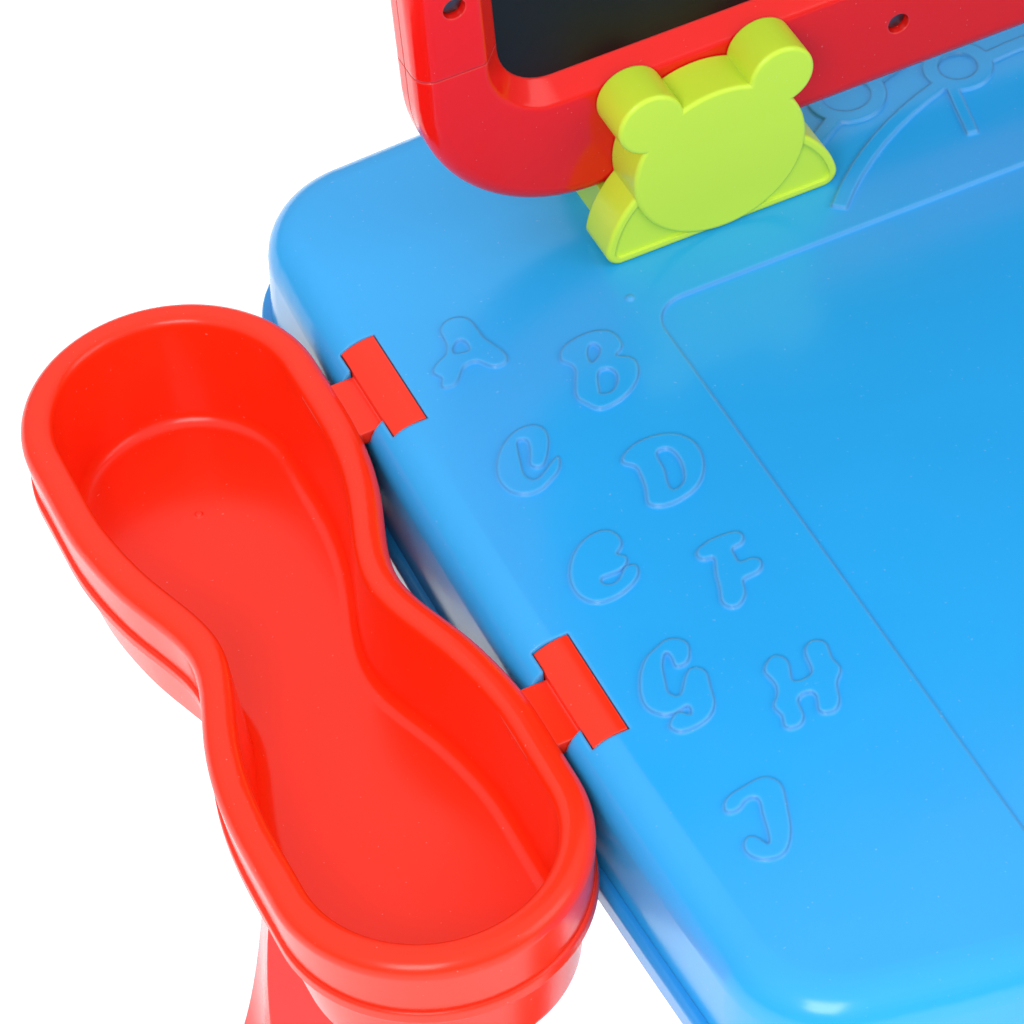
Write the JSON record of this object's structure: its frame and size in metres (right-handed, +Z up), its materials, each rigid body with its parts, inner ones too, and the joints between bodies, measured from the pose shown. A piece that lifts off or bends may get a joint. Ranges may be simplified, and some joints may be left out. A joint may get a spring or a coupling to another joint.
{
  "type": "children's activity desk",
  "caption": "Children's activity desk with raised letters, lift-off side trays and a lift-out drawing board held upright by two animal-shaped clips.",
  "frame": {"origin": "on the floor, at the middle of the footprint under the desk", "axes": "+Z up, +Y towards the drawing board at the back, +X towards the right-hand tray"},
  "size_m": [0.7976, 0.4637, 0.844],
  "materials": {
    "blue_plastic": "injection-moulded polypropylene, semi-gloss",
    "tray_red": "injection-moulded polypropylene, semi-gloss orange red",
    "frame_red": "injection-moulded polypropylene, glossy red",
    "leg_red": "injection-moulded polypropylene, glossy red",
    "lime_plastic": "injection-moulded polypropylene, satin lime",
    "blackboard": "smooth chalkboard sheet",
    "whiteboard": "dry-wipe sheet",
    "foot_rubber": "matte foot pad",
    "screw_steel": "zinc-plated self-tapping screw"
  },
  "bodies": {
    "desk": {"desk_top": "blue_plastic", "desk_base": "blue_plastic", "desk_screws": "screw_steel", "leg_back_left": "leg_red", "leg_back_right": "leg_red", "leg_front_left": "leg_red", "leg_front_right": "leg_red", "foot_pads": "foot_rubber", "leg_screws": "screw_steel", "clip_left_front": "lime_plastic", "clip_left_back": "lime_plastic", "clip_right_front": "lime_plastic", "clip_right_back": "lime_plastic", "clip_screws": "screw_steel"},
    "tray_left": {"tray_left_liner": "tray_red", "tray_left_shell": "tray_red", "tray_left_screws": "screw_steel"},
    "tray_right": {"tray_right_liner": "tray_red", "tray_right_shell": "tray_red", "tray_right_screws": "screw_steel"},
    "board": {"frame_lower_front": "frame_red", "frame_lower_back": "frame_red", "frame_upper_front": "frame_red", "frame_upper_back": "frame_red", "blackboard_panel": "blackboard", "whiteboard_panel": "whiteboard", "board_screws": "screw_steel"}
  },
  "joints": [
    {"name": "tray_left_lift", "type": "slide", "parent": "desk", "child": "tray_left", "axis": [0, 0, 1], "range_m": [0, 0.06]},
    {"name": "tray_right_lift", "type": "slide", "parent": "desk", "child": "tray_right", "axis": [0, 0, 1], "range_m": [0, 0.06]},
    {"name": "board_lift", "type": "slide", "parent": "desk", "child": "board", "axis": [0, 0, 1], "range_m": [0, 0.09]}
  ]
}
